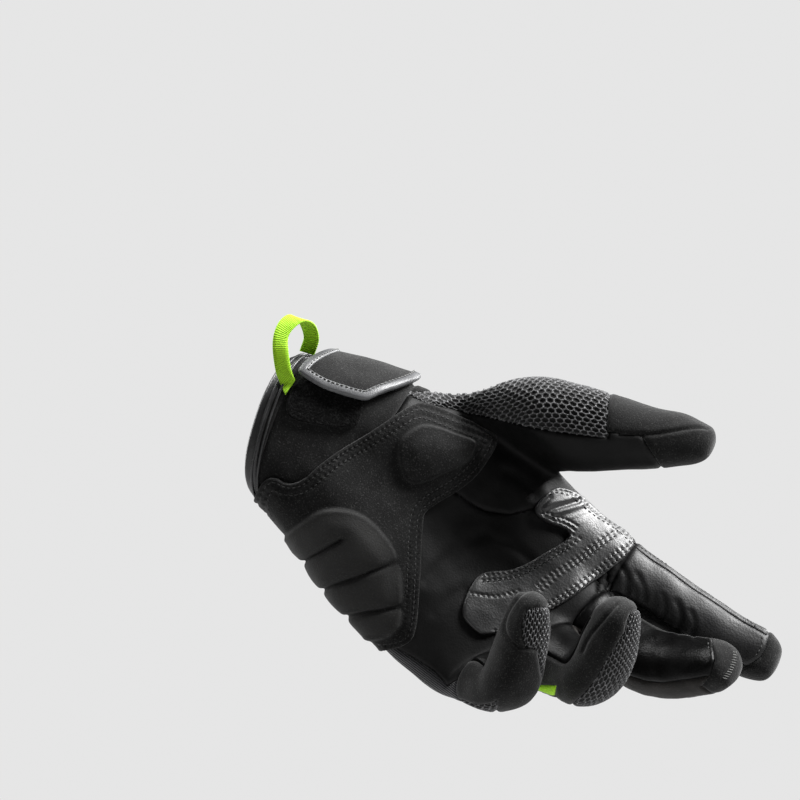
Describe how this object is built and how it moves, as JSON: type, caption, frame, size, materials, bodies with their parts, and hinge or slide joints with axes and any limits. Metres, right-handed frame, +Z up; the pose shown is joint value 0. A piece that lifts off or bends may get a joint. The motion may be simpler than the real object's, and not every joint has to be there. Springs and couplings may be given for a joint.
{
  "type": "motorcycle glove",
  "caption": "Short-cuff left motorcycle glove in its worn, half-curled form, with padded palm, mesh thumb, wrist strap and lime pull loop.",
  "frame": {"origin": "centre of the wrist opening, where the hand goes in", "axes": "+X from the wrist towards the fingers, -Y out of the palm, +Z up on the thumb's side"},
  "size_m": [0.2307, 0.0957, 0.169],
  "materials": {
    "suede": "matt suede, charcoal",
    "leather": "smooth grained, half gloss, black",
    "air_mesh": "open hexagonal mesh, dark grey",
    "knit": "fine ribbed knit, dark grey",
    "hook_loop": "fuzzy loop pile, black",
    "piping": "folded binding, half gloss, dark grey",
    "lime_textile": "ribbed ribbon and stretch cloth, fluorescent lime"
  },
  "bodies": {
    "root": {"cuff_binding": "piping", "cuff_palm": "suede", "cuff_back": "suede", "palm_leather": "leather", "hand_back": "knit", "wrist_gusset": "suede", "thumb_leather": "leather", "thumb_mesh": "air_mesh", "thumb_tip": "suede", "index_palm": "leather", "index_back": "air_mesh", "index_tip": "suede", "middle_palm": "leather", "middle_back": "air_mesh", "middle_tip": "suede", "ring_palm": "leather", "ring_back": "air_mesh", "ring_tip": "suede", "little_palm": "leather", "little_back": "air_mesh", "little_tip": "suede", "side_index": "leather", "side_little": "suede", "fourchette_index_middle": "suede", "fourchette_middle_ring": "suede", "fourchette_ring_little": "lime_textile", "palm_overlay": "suede", "grip_patch": "leather", "loop_patch": "hook_loop", "strap": "suede", "strap_binding": "piping", "pull_loop": "lime_textile"}
  },
  "joints": []
}
